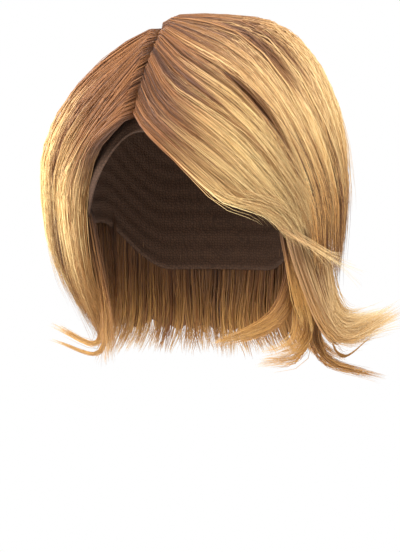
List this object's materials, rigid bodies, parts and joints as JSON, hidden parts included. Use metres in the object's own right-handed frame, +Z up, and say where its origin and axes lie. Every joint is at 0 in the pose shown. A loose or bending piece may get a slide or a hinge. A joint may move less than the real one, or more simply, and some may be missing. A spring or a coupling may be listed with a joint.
{
  "type": "wig",
  "caption": "Collar-length layered blonde wig with darker roots, a side parting, a swept fringe and flicked ends, on a soft net cap that is worn on the head.",
  "frame": {"origin": "middle of the head opening, level with the tops of the wearer's ears, where the wig sits on a head", "axes": "+Z up, the wearer faces -Y, +X to the wearer's left"},
  "size_m": [0.2699, 0.2332, 0.2636],
  "materials": {
    "cap_net": "matt elastic net with rows of sewn wefts",
    "hair_top": "satin synthetic fibre, brown at the roots and golden blonde below",
    "hair_ends": "satin synthetic fibre, golden blonde",
    "hair_under": "satin synthetic fibre, caramel blonde"
  },
  "bodies": {
    "root": {"wig_cap": "cap_net", "fringe": "hair_top", "temple_flick": "hair_ends", "left_side": "hair_top", "right_side": "hair_top", "back": "hair_top", "left_flick": "hair_ends", "left_under": "hair_under", "right_under": "hair_under", "nape": "hair_under"}
  },
  "joints": []
}
